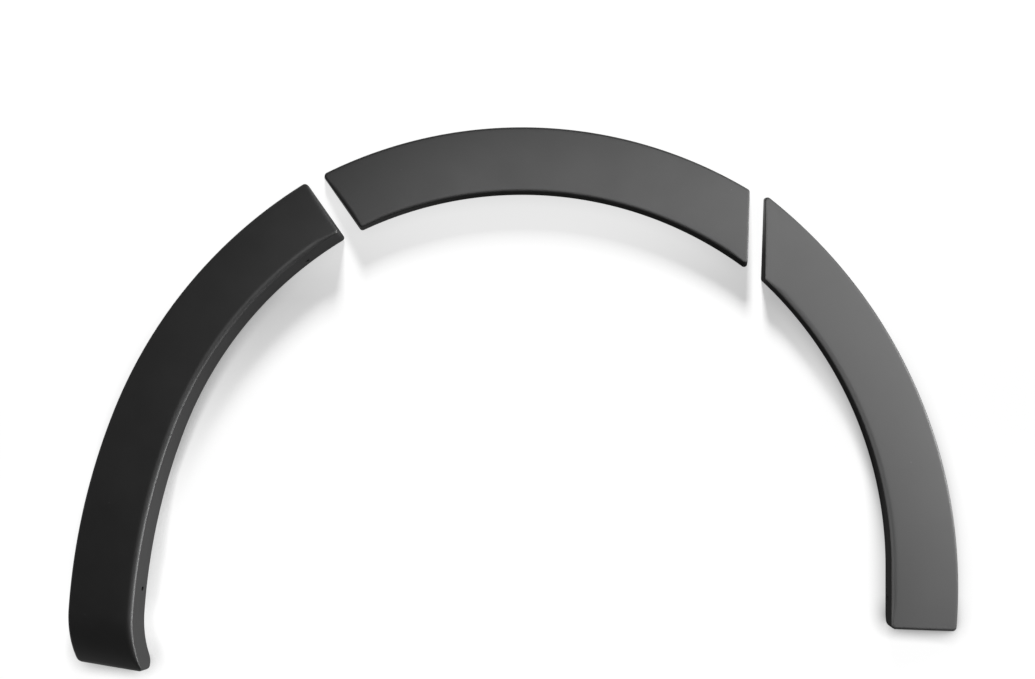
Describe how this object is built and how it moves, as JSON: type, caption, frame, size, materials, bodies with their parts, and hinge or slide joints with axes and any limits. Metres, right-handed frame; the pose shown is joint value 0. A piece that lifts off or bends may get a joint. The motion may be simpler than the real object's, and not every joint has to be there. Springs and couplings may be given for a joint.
{
  "type": "wheel arch trim",
  "caption": "Arched car body trim of separate hollow mouldings around a wheel opening, with a deep inner screw flange and a foot that rolls under the bumper.",
  "frame": {"origin": "middle of the trim's box, on the floor that it lies on", "axes": "+X towards the front of the car, +Y up the car's side, +Z out of the car's side"},
  "size_m": [0.8924, 0.5458, 0.0467],
  "materials": {
    "moulding": "satin"
  },
  "bodies": {
    "root": {"bumper_segment": "moulding", "crown_segment": "moulding", "door_segment": "moulding"}
  },
  "joints": []
}
